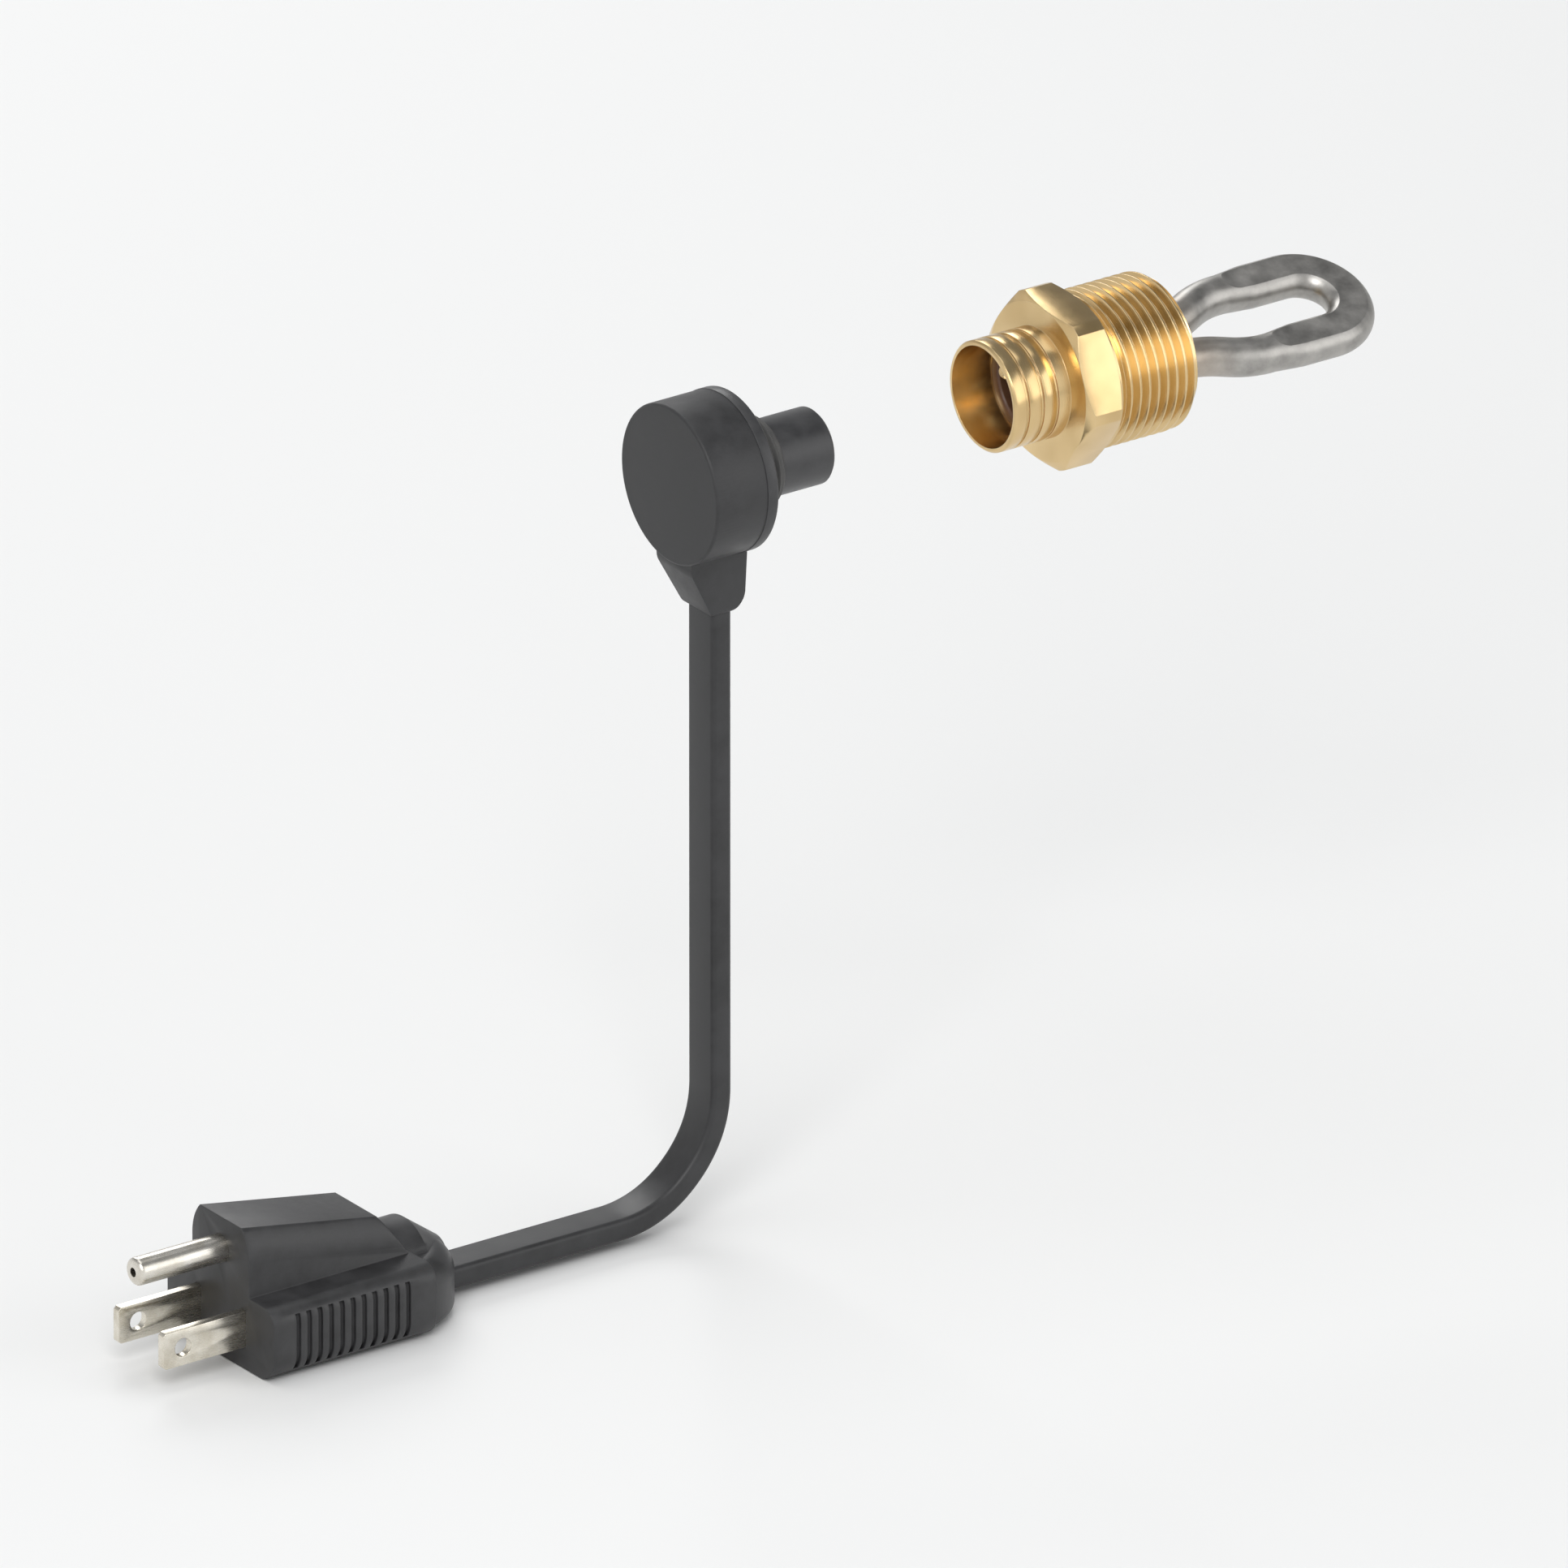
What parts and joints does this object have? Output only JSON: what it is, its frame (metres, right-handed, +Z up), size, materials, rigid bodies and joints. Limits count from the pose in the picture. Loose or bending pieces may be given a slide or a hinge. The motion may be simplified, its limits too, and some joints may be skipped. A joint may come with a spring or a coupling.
{
  "type": "engine block heater",
  "caption": "Threaded plug heater with a looped heating element for an engine block, and its flat cord set with a push-on connector and a moulded grounded plug.",
  "frame": {"origin": "on the heater's axis where the pipe thread meets the hexagon, which is the start of the thread", "axes": "+X along the heater's axis into the engine block, +Z up"},
  "size_m": [0.2435, 0.0302, 0.1453],
  "materials": {
    "brass_body": "turned and machined brass",
    "alloy_sheath": "drawn alloy tube, satin grey",
    "magnesia": "compacted white magnesia powder",
    "resistance_wire": "coiled resistance wire",
    "nickel_pin": "nickel-plated pin",
    "silicone_seal": "red-brown silicone",
    "moulded_insulator": "dark brown moulded phenolic",
    "potting": "cast epoxy",
    "carrier_plastic": "black moulded nylon",
    "seal_rubber": "soft black rubber",
    "housing_rubber": "black moulded rubber",
    "contact_brass": "drawn brass sleeve",
    "core_insulation_line": "black core insulation",
    "core_insulation_neutral": "white core insulation",
    "core_insulation_ground": "green core insulation",
    "cord_jacket": "black flat cord jacket",
    "plug_vinyl": "black moulded vinyl",
    "bridge_plastic": "ivory moulded nylon",
    "blade_metal": "nickel-washed brass"
  },
  "bodies": {
    "heater": {"hex_plug": "brass_body", "element_sheath": "alloy_sheath", "magnesia_fill": "magnesia", "resistance_coil": "resistance_wire", "terminal_pin_line": "nickel_pin", "terminal_pin_neutral": "nickel_pin", "ground_terminal": "nickel_pin", "end_seal_line": "silicone_seal", "end_seal_neutral": "silicone_seal", "terminal_insulator": "moulded_insulator", "sealing_compound": "potting"},
    "cord_set": {"contact_carrier": "carrier_plastic", "mouth_seal": "seal_rubber", "connector_housing": "housing_rubber", "contact_sleeve_line": "contact_brass", "contact_sleeve_neutral": "contact_brass", "contact_sleeve_ground": "contact_brass", "connector_lead_line": "core_insulation_line", "connector_lead_neutral": "core_insulation_neutral", "connector_lead_ground": "core_insulation_ground", "cord": "cord_jacket", "plug_moulding": "plug_vinyl", "blade_bridge": "bridge_plastic", "blade_line": "blade_metal", "blade_neutral": "blade_metal", "ground_prong": "blade_metal", "plug_lead_line": "core_insulation_line", "plug_lead_neutral": "core_insulation_neutral", "plug_lead_ground": "core_insulation_ground"}
  },
  "joints": [
    {"name": "connector_push_on", "type": "slide", "parent": "heater", "child": "cord_set", "axis": [1, 0, 0], "range_m": [0, 0.0495]}
  ]
}
